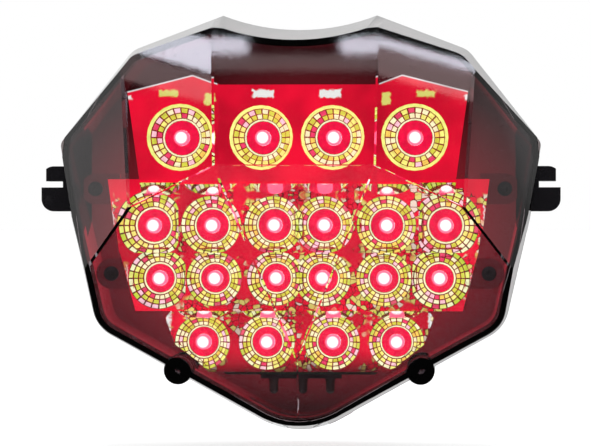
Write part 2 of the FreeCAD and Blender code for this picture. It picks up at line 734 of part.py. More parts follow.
def make_plate_leds():
    up = size("plate_board_up")
    bodies = [
        led(x, y, up, size("plate_led_diameter"), size("plate_led_height"), V(0, 0, -1))
        for x, y in plate_led_places()
    ]
    return shaped("plate_leds", Part.makeCompound(bodies))


def make_leads():
    """All LED leads with their solder cones."""
    half = size("lead_pitch / 2")
    pins = []
    for _, floor, lamps in led_rows():
        for x, z in row_places(lamps):
            pins += [lead(x + step, board_front(floor), z, V(0, 1, 0)) for step in (-half, half)]
    for x, y in plate_led_places():
        pins += [lead(x + step, y, size("plate_board_up"), V(0, 0, 1)) for step in (-half, half)]
    return shaped("led_leads", Part.makeCompound(pins))


def board_back(floor):
    return "%s - %s + floor_to_board + board_thickness" % (JOINT, floor)


def drill(host, floor_back, circles):
    """Through holes in a board, drawn on the board's back plane."""
    holes = sketch_in(host, "XZ_Plane", "0 - (" + floor_back + ")")
    for across, up, radius in circles:
        draw_circle(holes, across, up, radius)
    pocket = host.newObject("PartDesign::Pocket", host.Name + "_holes")
    pocket.Profile = holes
    pocket.Type = "ThroughAll"
    pocket.Midplane = True
    DOC.recompute()
    return host


def mirrored(across, up, radius):
    return [(across, up, radius), ("0 - (" + across + ")", up, radius)]


def lead_circles(row, places):
    """Lead holes for one row of LEDs, from the names of its places."""
    circles = []
    for place in places:
        for sign in ("+", "-"):
            across = "%s_%s %s lead_pitch / 2" % (row, place, sign)
            circles += mirrored(across, row + "_up", "board_hole / 2")
    return circles


def screw_circles(places):
    return [found for across, up in places for found in mirrored(across, up, "screw_hole_radius")]


def make_boards():
    """The three LED boards behind the reflector."""
    upper = slab("upper_board", [
        ("0 - upper_board_across", "upper_board_bottom"), ("upper_board_across", "upper_board_bottom"),
        ("upper_board_across", "upper_board_top"), ("0 - upper_board_across", "upper_board_top"),
    ], board_back("top_floor"), "board_thickness")
    drill(upper, board_back("top_floor"), lead_circles("top_row", ("inner", "outer")) + screw_circles([
        ("upper_pillar_across", "upper_pillar_high"), ("upper_pillar_across", "upper_pillar_low"),
    ]))
    middle = slab("middle_board", [
        ("0 - middle_board_across", "middle_board_bottom"),
        ("middle_board_across", "middle_board_bottom"),
        ("middle_board_across", "middle_board_top"), ("0 - middle_board_across", "middle_board_top"),
    ], board_back("mid_floor"), "board_thickness")
    drill(
        middle, board_back("mid_floor"),
        lead_circles("second_row", ("inner", "middle", "outer"))
        + lead_circles("third_row", ("inner", "middle", "outer"))
        + screw_circles([
            ("middle_pillar_outer", "middle_pillar_up"), ("middle_pillar_inner", "middle_pillar_up"),
        ]),
    )
    lower = slab("lower_board", [
        ("0 - lower_board_across", "lower_board_side"), ("0 - lower_board_foot", "lower_board_bottom"),
        ("lower_board_foot", "lower_board_bottom"), ("lower_board_across", "lower_board_side"),
        ("lower_board_across", "lower_board_top"), ("0 - lower_board_across", "lower_board_top"),
    ], board_back("low_floor"), "board_thickness")
    drill(lower, board_back("low_floor"), lead_circles("bottom_row", ("inner", "outer"))
          + screw_circles([("lower_pillar_across", "lower_pillar_up")]))
    return [upper, middle, lower]


def make_plate_board():
    """Small board that carries the white LEDs, held flat in the housing's rails."""
    host = body("plate_board")
    outline = sketch_in(host, "XY_Plane", "plate_board_up")
    front = JOINT + " + plate_board_front"
    draw_polygon(outline, [
        ("0 - plate_board_across", front), ("plate_board_across", front),
        ("plate_board_across", front + " + plate_board_length"),
        ("0 - plate_board_across", front + " + plate_board_length"),
    ])
    pad = host.newObject("PartDesign::Pad", "plate_board_pad")
    pad.Profile = outline
    pad.setExpression("Length", bound("board_thickness"))
    DOC.recompute()
    holes = sketch_in(host, "XY_Plane", "plate_board_up")
    middle = front + " + plate_board_length / 2"
    for step in (-1, 0, 1):
        for sign in ("+", "-"):
            across = "plate_led_pitch * (%d) %s lead_pitch / 2" % (step, sign)
            draw_circle(holes, across, middle, "board_hole / 2")
    pocket = host.newObject("PartDesign::Pocket", "plate_board_holes")
    pocket.Profile = holes
    pocket.Type = "ThroughAll"
    pocket.Midplane = True
    DOC.recompute()
    return host


# ---------------------------------------------------------------- parts on the boards

def axial(across, along, up, radius, length, pitch):
    """An axial part lying along X behind a board, with its two bent legs."""
    lift = along + radius + size("part_lift")
    wire = size("lead_diameter / 2")
    shape = Part.makeCylinder(radius, length, V(across - length / 2, lift, up), V(1, 0, 0))
    run = Part.makeCylinder(wire, pitch, V(across - pitch / 2, lift, up), V(1, 0, 0))
    legs = [rod(across + step, along, lift, up, wire) for step in (-pitch / 2, pitch / 2)]
    knees = [Part.makeSphere(wire, V(across + step, lift, up)) for step in (-pitch / 2, pitch / 2)]
    return shape.fuse([run] + legs + knees).removeSplitter()


def make_resistors():
    """Eight resistors, one per string of LEDs, above and below the middle board's LEDs."""
    along = size(board_back("mid_floor"))
    places = both_sides([
        (size(across), size(up))
        for across in ("resistor_inner", "resistor_outer") for up in ("resistor_high", "resistor_low")
    ])
    made = [
        axial(x, along, z, size("resistor_radius"), size("resistor_length"), size("resistor_pitch"))
        for x, z in places
    ]
    return shaped("resistors", Part.makeCompound(made))


def make_diodes():
    """Two diodes on the upper board that keep the running and brake feeds apart."""
    along = size(board_back("top_floor"))
    made = [
        axial(0, along, size(up), size("diode_radius"), size("diode_length"), size("resistor_pitch"))
        for up in ("diode_high", "diode_low")
    ]
    return shaped("diodes", Part.makeCompound(made))


def make_drivers():
    """Two driver chips behind the middle board."""
    back = board_back("mid_floor")
    right = box(
        ("driver_across - driver_length / 2", back, "middle_pillar_up - driver_width / 2"),
        ("driver_across + driver_length / 2", back + " + driver_height",
         "middle_pillar_up + driver_width / 2"),
    )
    return shaped("driver_chips", Part.makeCompound([right, right.mirror(V(0, 0, 0), V(1, 0, 0))]))


def make_capacitor():
    """Smoothing capacitor behind the middle board."""
    back = board_back("mid_floor")
    can = feature("capacitor", "Part::Cylinder", Radius="capacitor_radius", Height="capacitor_height")
    can.Placement = FreeCAD.Placement(V(0, 0, 0), FreeCAD.Rotation(V(1, 0, 0), -90))
    for axis, given in (("x", "capacitor_across"), ("y", back), ("z", "middle_pillar_up")):
        can.setExpression("Placement.Base." + axis, bound(given))
    return can


def make_header():
    """Block on the middle board where the three feed wires are soldered."""
    back = board_back("mid_floor")
    block = feature(
        "feed_header", "Part::Box", Length="header_length", Width="header_height",
        Height="header_width",
    )
    for axis, given in (
        ("x", "0 - header_length / 2"), ("y", back), ("z", "middle_pillar_up - header_width / 2")
    ):
        block.setExpression("Placement.Base." + axis, bound(given))
    return block


def link_wire(points):
    """A wire through the given points with its corners rounded."""
    edges = []
    start = points[0]
    for index in range(1, len(points) - 1):
        arc = round_corner(points[index - 1], points[index], points[index + 1], size("link_bend"))
        edges.append(Part.makeLine(start, arc[0]))
        edges.append(Part.Arc(*arc).toShape())
        start = arc[2]
    edges.append(Part.makeLine(start, points[-1]))
    path = Part.Wire(edges)
    way = points[1] - points[0]
    ring = Part.Wire(Part.makeCircle(size("link_radius"), points[0], way))
    return path.makePipeShell([ring], True, False)


def make_links():
    """Insulated wires: three between each pair of LED boards, two to the number plate board."""
    inset = size("link_inset")
    upper, middle, lower = [size(board_back(f)) for f in ("top_floor", "mid_floor", "low_floor")]
    high = size("upper_board_bottom") + inset
    below = size("middle_board_top") - inset
    foot = size("middle_board_bottom") + inset
    shelf = size("lower_board_top") - inset
    hang = size("lower_pillar_up")
    rear = max(middle, upper) + size("link_reach")
    wires = []
    for step in (-1, 0, 1):
        x = step * size("link_pitch")
        wires.append(link_wire([V(x, upper, high), V(x, rear, high), V(x, rear, below), V(x, middle, below)]))
        far = lower + size("link_reach")
        wires.append(link_wire([V(x, middle, foot), V(x, far, foot), V(x, far, shelf), V(x, lower, shelf)]))
    top = size("plate_board_up + board_thickness")
    for x in (-size("link_pitch"), size("link_pitch")):
        along = lower + size("link_reach")
        wires.append(link_wire([V(x, lower, hang + size("link_rise")),
                                V(x, along, hang + size("link_rise")), V(x, along, top)]))
    return shaped("board_links", Part.makeCompound(wires))


# ---------------------------------------------------------------- fasteners and rear fittings

SCREW = [
    ("0", "screw_head_height - recess_depth"), ("recess_radius", "screw_head_height"),
    ("screw_head_radius", "screw_head_height"), ("screw_head_radius", "0"), ("screw_radius", "0"),
]


def screw_master(name, length):
    """Pan head screw pointing towards -Y with its head's underside at y = 0."""
    profile = SCREW + [("screw_radius", "0 - " + length), ("0", "0 - " + length)]
    return turned(name, profile).Shape


def placed(shape, x, y, z, forwards=True):
    """A copy of a shape moved into place, turned to point the other way if not forwards."""
    copy = shape.copy()
    if not forwards:
        copy.rotate(V(0, 0, 0), V(0, 0, 1), 180)
    copy.translate(V(x, y, z))
    return copy


def make_screws():
    """Board, reflector and lens screws, one node for each kind."""
    short = screw_master("short_screw", "screw_length")
    long = screw_master("long_screw", "lens_screw_length")
    board = size("board_thickness")
    into_pillars = [
        placed(short, x, board_front(floor) + board, z)
        for _, floor, places in pillars() for x, z in places
    ]
    flange_front = size(JOINT + " + flange_back - flange_thickness")
    into_posts = [placed(short, x, flange_front, z, False) for x, z in reflector_fixings()]
    seat = size(JOINT + " + seal_thickness + lens_screw_grip")
    lugs = both_sides([(size("lug_across"), size("lug_up"))])
    into_lens = [placed(long, x, seat, z) for x, z in lugs]
    return [
        shaped("board_screws", Part.makeCompound(into_pillars)),
        shaped("reflector_screws", Part.makeCompound(into_posts)),
        shaped("lens_screws", Part.makeCompound(into_lens)),
    ]


def make_inserts():
    """Two threaded brass inserts pressed into the rear bosses."""
    insert = turned("insert", [
        ("insert_bore", "0"), ("insert_radius", "0"), ("insert_radius", "0 - insert_length"),
        ("insert_bore", "0 - insert_length"),
    ]).Shape
    half = size("insert_spacing / 2")
    return shaped("rear_inserts", Part.makeCompound([placed(insert, x, 0, 0) for x in (-half, half)]))


def make_inlet():
    """Rubber grommet in the rear wall that the cable passes through."""
    return turned("wire_grommet", [
        ("inlet_bore", "0 - rear_wall - inlet_lip"), ("inlet_flange", "0 - rear_wall - inlet_lip"),
        ("inlet_flange", "0 - rear_wall"), ("inlet_neck", "0 - rear_wall"), ("inlet_neck", "0"),
        ("inlet_flange", "0"), ("inlet_flange", "inlet_lip"), ("inlet_bore", "inlet_lip"),
    ], along=REAR, up="inlet_up")


def make_vent():
    """Breather: a membrane over a hole in the rear wall and a cap that shields it."""
    membrane = turned("vent_membrane", [
        ("0", "0"), ("membrane_radius", "0"), ("membrane_radius", "membrane_thickness"),
        ("0", "membrane_thickness"),
    ], "vent_across", REAR, "vent_up")
    inside = "vent_cap_radius - vent_cap_wall"
    cap = turned("vent_cap", [
        ("0", "vent_cap_height"), ("vent_cap_radius", "vent_cap_height"), ("vent_cap_radius", "0"),
        (inside, "0"), (inside, "vent_cap_height - vent_cap_wall"),
        ("0", "vent_cap_height - vent_cap_wall"),
    ], "vent_across", REAR, "vent_up")
    return [membrane, cap]


# ---------------------------------------------------------------- build and write

def build():
    """Make every piece, from the lens at the front to the fittings on the rear wall."""
    fill_sheet()
    rim = shaped("rim_outline", rim_wire(size(JOINT)))
    parts = [make_lens(rim), make_seal(rim), make_housing(rim), make_window(rim), make_reflector(rim)]
    parts += make_leds() + [make_plate_leds(), make_leads()]
    parts += make_boards() + [make_plate_board()]
    parts += [make_resistors(), make_diodes(), make_drivers(), make_capacitor(), make_header()]
    parts += [make_links()] + make_screws() + [make_inserts(), make_inlet()] + make_vent()
    return parts


def write(parts):
    """Check every object and each piece's shape, then write one STEP file per piece."""
    DOC.recompute()
    for made in DOC.Objects:
        if "Invalid" in made.State or "Error" in made.State:
            raise RuntimeError("%s did not build: %s" % (made.Label, made.State))
    for part in parts:
        if part.Shape.isNull() or not part.Shape.isValid():
            raise RuntimeError("%s has no valid shape" % part.Label)
    os.makedirs("parts", exist_ok=True)
    for part in parts:
        part.Shape.exportStep("parts/%s.step" % part.Label)
        print("%-22s %3d solid(s) %10.1f mm3" % (part.Label, len(part.Shape.Solids), part.Shape.Volume))


write(build())
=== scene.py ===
import math

import bmesh
import bpy
import numpy as np
from mathutils import Matrix, Vector


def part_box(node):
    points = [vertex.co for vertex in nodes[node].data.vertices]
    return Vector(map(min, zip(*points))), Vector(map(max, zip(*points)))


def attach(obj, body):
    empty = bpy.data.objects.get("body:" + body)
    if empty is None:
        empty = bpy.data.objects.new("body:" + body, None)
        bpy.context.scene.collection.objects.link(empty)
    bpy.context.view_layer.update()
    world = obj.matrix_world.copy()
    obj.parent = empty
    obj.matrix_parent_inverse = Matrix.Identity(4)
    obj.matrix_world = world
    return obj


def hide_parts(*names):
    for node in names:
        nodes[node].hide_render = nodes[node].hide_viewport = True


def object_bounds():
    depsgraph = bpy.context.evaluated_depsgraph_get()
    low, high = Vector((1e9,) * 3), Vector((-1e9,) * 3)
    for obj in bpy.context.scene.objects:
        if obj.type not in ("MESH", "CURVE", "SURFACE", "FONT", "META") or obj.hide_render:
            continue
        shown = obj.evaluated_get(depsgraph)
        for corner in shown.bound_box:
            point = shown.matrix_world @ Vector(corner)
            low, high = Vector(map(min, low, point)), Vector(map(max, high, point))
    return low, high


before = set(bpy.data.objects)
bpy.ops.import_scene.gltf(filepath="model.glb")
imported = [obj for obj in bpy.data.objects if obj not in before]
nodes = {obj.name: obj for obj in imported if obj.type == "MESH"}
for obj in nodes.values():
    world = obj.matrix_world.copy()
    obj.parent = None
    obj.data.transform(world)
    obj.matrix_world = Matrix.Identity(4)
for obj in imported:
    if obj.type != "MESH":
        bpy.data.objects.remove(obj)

cad_box = [list(corner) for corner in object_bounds()]


# ---------------------------------------------------------------------------
# Housing: one black moulding that holds everything. It is polished plastic with
# a fine moulded grain and the light scuffs of handling. Its inner walls carry a
# painted red glow, an emission that stands for the light spilling past the reflector.
# ---------------------------------------------------------------------------

def add(tree, kind, inputs=(), **settings):
    """A new shader node of that kind; inputs gives its sockets plain values or other nodes' outputs."""
    made = tree.nodes.new("ShaderNode" + kind)
    for key, value in settings.items():
        setattr(made, key, value)
    for key, value in dict(inputs).items():
        if isinstance(value, bpy.types.NodeSocket):
            tree.links.new(value, made.inputs[key])
        else:
            made.inputs[key].default_value = value
    return made


def maths(tree, operation, *values):
    """The output of a Math node on those values."""
    return add(tree, "Math", dict(enumerate(values)), operation=operation).outputs[0]


def spread(tree, value, low, high, to_low=0.0, to_high=1.0):
    """The output of a clamped Map Range node: low becomes to_low and high becomes to_high."""
    return add(tree, "MapRange", {"Value": value, "From Min": low, "From Max": high,
                                  "To Min": to_low, "To Max": to_high}).outputs[0]


def blend_colours(tree, share, first, second):
    """The output of a colour mix: first where share is 0 and second where it is 1."""
    return add(tree, "Mix", {0: share, 6: first, 7: second}, data_type="RGBA").outputs[2]


def effect(name, inputs, output):
    """A node group with those number inputs and one output. Returns its tree, the inputs and a function that
    links a value to its output."""
    tree = bpy.data.node_groups.new(name, "ShaderNodeTree")
    for label, value in inputs.items():
        socket = tree.interface.new_socket(name=label, in_out="INPUT", socket_type="NodeSocketFloat")
        socket.default_value = value
    tree.interface.new_socket(name=output, in_out="OUTPUT", socket_type="NodeSocketFloat")
    result = tree.nodes.new("NodeGroupOutput")
    return tree, tree.nodes.new("NodeGroupInput").outputs, lambda value: tree.links.new(value, result.inputs[0])


def placed(tree, group, **values):
    """The output of that node group placed in a material with its own values."""
    made = tree.nodes.new("ShaderNodeGroup")
    made.node_tree = group
    for label, value in values.items():
        made.inputs[label.replace("_", " ")].default_value = value
    return made.outputs[0]


def moulded_grain():
    """Height of a spark-eroded tool finish: a fine noise mixed with one at a quarter of its scale."""
    tree, given, end = effect("moulded_grain", {"Scale": 2500.0, "Coarse Share": 0.4}, "Height")
    where = add(tree, "TexCoord").outputs["Object"]
    fine = add(tree, "TexNoise", {"Vector": where, "Scale": given["Scale"], "Detail": 3.0}).outputs[0]
    coarse = add(tree, "TexNoise", {"Vector": where, "Scale": maths(tree, "MULTIPLY", given["Scale"], 0.25),
                                    "Detail": 2.0}).outputs[0]
    share = given["Coarse Share"]
    end(maths(tree, "ADD", maths(tree, "MULTIPLY", coarse, share),
              maths(tree, "MULTIPLY", fine, maths(tree, "SUBTRACT", 1.0, share))))
    return tree


def handling_marks():
    """Mask of scuffs: the crests of a stretched noise, kept only where a broad noise is high."""
    tree, given, end = effect("handling_marks", {"Scale": 120.0, "Amount": 0.35}, "Mask")
    where = add(tree, "TexCoord").outputs["Object"]
    turned = add(tree, "Mapping", {"Vector": where, "Rotation": (0.4, 0.9, 0.3), "Scale": (1.0, 6.0, 2.0)})
    lines = add(tree, "TexNoise", {"Vector": turned.outputs[0], "Scale": given["Scale"], "Detail": 6.0,
                                   "Roughness": 0.7}).outputs[0]
    broad = add(tree, "TexNoise", {"Vector": where, "Scale": 25.0, "Detail": 2.0}).outputs[0]
    end(maths(tree, "MULTIPLY", given["Amount"],
              maths(tree, "MULTIPLY", spread(tree, lines, 0.58, 0.72), spread(tree, broad, 0.45, 0.65))))
    return tree


GRAIN, MARKS = moulded_grain(), handling_marks()


def finish(name, colour, worn, roughness, marks=0.35, grain=2500.0, depth=0.00002, **sockets):
    """A Principled material over a fine grain. In the scuffs it is rougher and fades to the worn colour."""
    made = bpy.data.materials.new(name)
    made.use_nodes = True
    tree = made.node_tree
    shader = tree.nodes["Principled BSDF"]
    for socket, value in sockets.items():
        shader.inputs[socket.replace("_", " ")].default_value = value
    scuffs = placed(tree, MARKS, Amount=marks)
    tree.links.new(blend_colours(tree, scuffs, colour, worn), shader.inputs["Base Color"])
    tree.links.new(spread(tree, scuffs, 0.0, 1.0, roughness, min(1.0, roughness + 0.35)),
                   shader.inputs["Roughness"])
    bump = add(tree, "Bump", {"Height": placed(tree, GRAIN, Scale=grain), "Distance": depth})
    tree.links.new(bump.outputs[0], shader.inputs["Normal"])
    return made, tree, shader


def wear(material, *names):
    """Gives those CAD nodes that one material."""
    for name in names:
        nodes[name].data.materials.clear()
        nodes[name].data.materials.append(material)


GLOW = 3.0  # what the lamp's own light is worth behind the smoked lens

black_plastic, tree, shader = finish("polished_black_plastic", (0.012, 0.011, 0.013, 1),
                                     (0.09, 0.085, 0.085, 1), 0.14)
# Painted glow: red emission on the housing's walls, strongest near this point and on faces turned towards it.
spill_heart = (0.0, -0.046, -0.014)
where = add(tree, "TexCoord").outputs["Object"]
to_heart = add(tree, "VectorMath", {0: spill_heart, 1: where}, operation="SUBTRACT").outputs[0]
squashed = add(tree, "VectorMath", {0: to_heart, 1: (1.0, 1.0, 1.5)}, operation="MULTIPLY").outputs[0]
distance = add(tree, "VectorMath", {0: squashed}, operation="LENGTH").outputs["Value"]
unit = add(tree, "VectorMath", {0: to_heart}, operation="NORMALIZE").outputs[0]
turned_in = add(tree, "VectorMath", {0: unit, 1: add(tree, "NewGeometry").outputs["Normal"]},
                operation="DOT_PRODUCT").outputs["Value"]
parts = add(tree, "SeparateXYZ", {0: where}).outputs
side = maths(tree, "ABSOLUTE", parts[0])
level = add(tree, "CombineXYZ", {0: side, 2: parts[2]}).outputs[0]
from_lug = add(tree, "VectorMath", {0: level, 1: (0.0392, 0.0, -0.0586)}, operation="DISTANCE").outputs["Value"]
inside = maths(tree, "MULTIPLY", maths(tree, "LESS_THAN", side, 0.0695),
               maths(tree, "MULTIPLY", maths(tree, "LESS_THAN", parts[1], -0.0062),
                     maths(tree, "GREATER_THAN", from_lug, 0.0052)))
fade = spread(tree, distance, 0.05, 0.095, 1.5, 0.12)
tree.links.new(maths(tree, "MULTIPLY", maths(tree, "MULTIPLY", fade, inside),
                     maths(tree, "MAXIMUM", turned_in, 0.0)), shader.inputs["Emission Strength"])
shader.inputs["Emission Color"].default_value = (1.0, 0.07, 0.11, 1)
wear(black_plastic, "housing")

vent_plastic, _, _ = finish("vent_cap_plastic", (0.014, 0.013, 0.014, 1), (0.1, 0.095, 0.095, 1), 0.34, 0.5)
wear(vent_plastic, "vent_cap")


# ---------------------------------------------------------------------------
# Rear fittings: two brass inserts moulded into bosses, the rubber grommet that
# the cord would leave by, and the breathing membrane under the vent cap.
# ---------------------------------------------------------------------------

brass, _, _ = finish("turned_brass", (0.62, 0.44, 0.16, 1), (0.36, 0.24, 0.1, 1), 0.24, 0.6, 900.0,
                     Metallic=1.0)
rubber, _, _ = finish("black_rubber", (0.02, 0.02, 0.021, 1), (0.06, 0.058, 0.056, 1), 0.72, 0.5, 1400.0,
                      0.00004)
membrane, _, _ = finish("vent_membrane", (0.78, 0.78, 0.76, 1), (0.6, 0.58, 0.55, 1), 0.85, 0.4, 6000.0,
                        0.00003)
wear(brass, "rear_inserts")
wear(rubber, "wire_grommet")
wear(membrane, "vent_membrane")


# ---------------------------------------------------------------------------
# Circuit boards: three stepped boards behind the reflector and one behind the
# plate window, green solder mask over glass weave, with copper tracks below it.
# ---------------------------------------------------------------------------

board, tree, shader = finish("circuit_board", (0.012, 0.11, 0.045, 1), (0.05, 0.2, 0.1, 1), 0.32, 0.3, 4000.0,
                             0.00001)
where = add(tree, "TexCoord").outputs["Object"]
weave = add(tree, "TexWave", {"Vector": where, "Scale": 900.0, "Distortion": 0.4},
            bands_direction="X").outputs[1]
tracks = add(tree, "TexBrick", {"Vector": add(tree, "Mapping", {"Vector": where,
                                "Rotation": (math.pi / 2, 0, 0)}).outputs[0],
                                "Scale": 120.0, "Mortar Size": 0.035, "Color1": (0, 0, 0, 1),
                                "Color2": (0, 0, 0, 1), "Mortar": (1, 1, 1, 1)}).outputs[0]
tinted = blend_colours(tree, maths(tree, "MULTIPLY", tracks, 0.55), (0.012, 0.11, 0.045, 1),
                       (0.04, 0.24, 0.09, 1))
tree.links.new(blend_colours(tree, maths(tree, "MULTIPLY", weave, 0.12), tinted, (0.05, 0.16, 0.06, 1)),
               shader.inputs["Base Color"])
wear(board, "upper_board", "middle_board", "lower_board")
black_board, _, _ = finish("black_circuit_board", (0.012, 0.01, 0.012, 1), (0.06, 0.05, 0.05, 1), 0.45, 0.3,
                           4000.0, 0.00001)
wear(black_board, "plate_board")


# ---------------------------------------------------------------------------
# Parts on the boards: resistors, diodes, driver chips, the smoothing capacitor,
# the feed header, the links between the boards and the LEDs' own legs.
# ---------------------------------------------------------------------------

resistor, _, _ = finish("resistor_body", (0.05, 0.16, 0.3, 1), (0.2, 0.3, 0.4, 1), 0.4, 0.4)
epoxy, _, _ = finish("black_epoxy", (0.018, 0.018, 0.02, 1), (0.1, 0.1, 0.1, 1), 0.5, 0.4, 3500.0, 0.00003)
can, _, _ = finish("capacitor_can", (0.6, 0.61, 0.63, 1), (0.36, 0.36, 0.37, 1), 0.28, 0.5, Metallic=1.0)
header, _, _ = finish("header_plastic", (0.74, 0.72, 0.64, 1), (0.5, 0.47, 0.4, 1), 0.42, 0.4)
insulation, _, _ = finish("wire_insulation", (0.45, 0.02, 0.02, 1), (0.6, 0.15, 0.12, 1), 0.4, 0.4)
tin, _, _ = finish("tinned_steel", (0.66, 0.66, 0.65, 1), (0.4, 0.39, 0.37, 1), 0.3, 0.5, Metallic=1.0)
zinc, _, _ = finish("zinc_screw", (0.64, 0.66, 0.68, 1), (0.42, 0.42, 0.38, 1), 0.3, 0.6, 1200.0, Metallic=1.0)
wear(resistor, "resistors")
wear(epoxy, "diodes", "driver_chips")
wear(can, "capacitor")
wear(header, "feed_header")
wear(insulation, "board_links")
wear(tin, "led_leads")
wear(zinc, "board_screws", "lens_screws")
# Painted shade: the reflector's zinc screws are coloured near black for the dark they sit in.
screws_painted_dark, _, _ = finish("zinc_screw_painted_dark", (0.015, 0.015, 0.017, 1), (0.1, 0.1, 0.1, 1), 0.4, 0.4, 1200.0)
wear(screws_painted_dark, "reflector_screws")


# ---------------------------------------------------------------------------
# LEDs: twenty red ones in four rows and the white ones over the plate. Each is
# a clear epoxy dome whose tip is too bright to show any colour.
# ---------------------------------------------------------------------------

def lit_dome(name, hot, rim, strength):
    """An LED's dome: hot where its surface faces forwards, fading to the rim colour down its side."""
    made, tree, shader = finish(name, rim, rim, 0.1, 0.0)
    forwards = maths(tree, "MULTIPLY", -1.0,
                     add(tree, "SeparateXYZ", {0: add(tree, "NewGeometry").outputs["Normal"]}).outputs[1])
    tip = spread(tree, forwards, 0.60, 0.76)
    tree.links.new(blend_colours(tree, tip, rim, hot), shader.inputs["Emission Color"])
    shader.inputs["Emission Strength"].default_value = strength
    return made


wear(lit_dome("red_led", (1.0, 0.97, 0.95, 1), (1.0, 0.12, 0.24, 1), 1.5 * GLOW),
     "leds_top_row", "leds_second_row", "leds_third_row", "leds_bottom_row")
wear(lit_dome("white_led", (0.16, 0.15, 0.12, 1), (0.08, 0.07, 0.06, 1), 0.0), "plate_leds")


# ---------------------------------------------------------------------------
# Reflector: a stepped plastic moulding, vacuum metallised. Each LED has a cup of
# its own, lined with rings of small flat mirrors, 24 to a ring, with dark joints
# between them. What the mirrors show is painted: their emission colours stand
# for the LED's light reflected in each facet. The plate round the cups carries a
# painted red glow with painted glints, standing for the light it catches.
# ---------------------------------------------------------------------------

MM = 0.001
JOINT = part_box("lens_seal")[0].y
SECTORS = 24
SECTOR = 2 * math.pi / SECTORS
HALF_JOINT = 0.1 * SECTOR
FACET_TILT = 0.035
WALL = 1.2 * MM
HOLE = 2.55 * MM
FLOOR, SEAM, PLATE, BACK = -1.0, -2.0, -3.0, -4.0
# Codes that give the bead and the plain rim their painted reflection colours in the mirrors' ramp.
BEAD_GLINT_CODE, RIM_GLINT_CODE = 0.3, 0.12
PLAIN_RIM = (0.0, 0.10, 0.16, 0.42, 0.48, 0.74, 0.80, 1.0)
FACETED_RIM = (0.0, 0.10, 0.17, 0.39, 0.46, 0.67, 0.74, 0.96, 1.0)


def edge_distance(outline, angles):
    """How far a convex outline round the origin lies in each direction: the smallest, over its edges, of the
    edge's own distance divided by the cosine of the angle between the direction and the edge's normal."""
    along = np.roll(outline, -1, axis=0) - outline
    normal = np.stack([along[:, 1], -along[:, 0]], 1) / np.linalg.norm(along, axis=1)[:, None]
    away = (outline * normal).sum(1)
    facing = np.cos(angles)[:, None] * normal[:, 0] + np.sin(angles)[:, None] * normal[:, 1]
    return np.where(facing > 1e-6, away / np.maximum(facing, 1e-6), 1.0).min(1)


def cell(centre, corners, mouth, floor_radius, floor, face, shares, dice):
    """One cup with the plate round it, as a closed grid of angle by profile. The profile starts at the LED's
    hole, crosses the floor, climbs a cone from the floor to the mouth in steps, crosses the plate to the
    outline, drops down the skirt and comes back behind at a wall's thickness. Radii stop at the outline.
    Returns its points, its quads and what each quad is: a facet's code for its painted reflection, or one of
    the four marks."""
    outline = np.asarray(corners, float) * MM - centre
    outline = outline if outline[0, 0] * outline[1, 1] > outline[0, 1] * outline[1, 0] else outline[::-1]
    middles = np.arange(SECTORS) * SECTOR
    angles = np.concatenate([middles - HALF_JOINT, middles + HALF_JOINT,
                             np.arctan2(outline[:, 1], outline[:, 0])]) % (2 * math.pi)
    angles = np.sort(angles)
    reach = edge_distance(outline, angles)
    shares = np.array(shares)
    step = np.where(np.arange(len(shares)) % 2 == 0, FACET_TILT, -FACET_TILT) * (shares > 0) * (shares < 1)
    cone = floor_radius + shares * (mouth - floor_radius)
    radii = np.concatenate([[HOLE, floor_radius - 0.1 * MM], cone])
    climb = np.clip((radii - floor_radius) / (mouth - floor_radius), 0, 1)
    climb[2:] += step
    radius = np.minimum(radii[None, :], reach[:, None])
    share = np.clip((radius - floor_radius) / (mouth - floor_radius), 0, 1)
    ahead = floor + (face - floor) * np.where(radius < reach[:, None], climb[None, :], share)
    edge, rim = reach[:, None], ahead[:, -1:]
    rim = np.where(edge > mouth, face, rim)
    inner = np.minimum(mouth + 0.8 * MM, edge - WALL)
    radius = np.concatenate([radius, edge, edge, edge - WALL, edge - WALL, inner,
                             np.full_like(edge, floor_radius + 0.8 * MM), np.full_like(edge, HOLE)], 1)
    back = np.full_like(edge, floor - WALL)
    ahead = np.concatenate([ahead, rim, back - MM, back - MM, rim - WALL, rim - WALL, back, back], 1)
    turn = np.broadcast_to(angles[:, None], radius.shape)
    points = np.stack([centre[0] + radius * np.cos(turn), JOINT - ahead, centre[1] + radius * np.sin(turn)], -1)
    across, along = radius.shape
    i, j = np.meshgrid(np.arange(across), np.arange(along), indexing="ij")
    here, there = i * along + j, (i + 1) % across * along + j
    here_next, there_next = i * along + (j + 1) % along, (i + 1) % across * along + (j + 1) % along
    quads = np.stack([here, here_next, there_next, there], -1).reshape(-1, 4)
    middle = (angles + np.diff(np.append(angles, angles[0] + 2 * math.pi)) / 2) % (2 * math.pi)
    offset = np.abs((middle + SECTOR / 2) % SECTOR - SECTOR / 2)
    sector = np.round(middle / SECTOR - 0.5).astype(int) % SECTORS
    rings = len(shares) - 1
    ring = np.arange(rings)
    faceted = len(shares) == len(FACETED_RIM)
    painted_light_code = dice.random((SECTORS, rings))[sector]
    # Painted highlight: facets towards the upper left of each cup get a brighter painted reflection.
    upper_left_painted_glint = 0.06 * (1 + np.cos(middle - 2.4))[:, None] * (ring > 3)
    painted_light_code = np.clip(painted_light_code + upper_left_painted_glint, 0, 1)
    painted_light_code = np.where(ring % 2 == 1, SEAM, painted_light_code)
    painted_light_code = np.where((offset < HALF_JOINT)[:, None] & (ring > 0) & (ring < rings - 1 + faceted), SEAM, painted_light_code)
    painted_light_code[:, 0] = BEAD_GLINT_CODE
    painted_light_code[:, -1] = SEAM if faceted else RIM_GLINT_CODE
    kind = np.full((across, along), BACK)
    kind[:, 0], kind[:, 1] = FLOOR, SEAM
    kind[:, 2:2 + rings] = painted_light_code
    kind[:, 2 + rings] = PLATE
    return points.reshape(-1, 3), quads, kind.ravel()


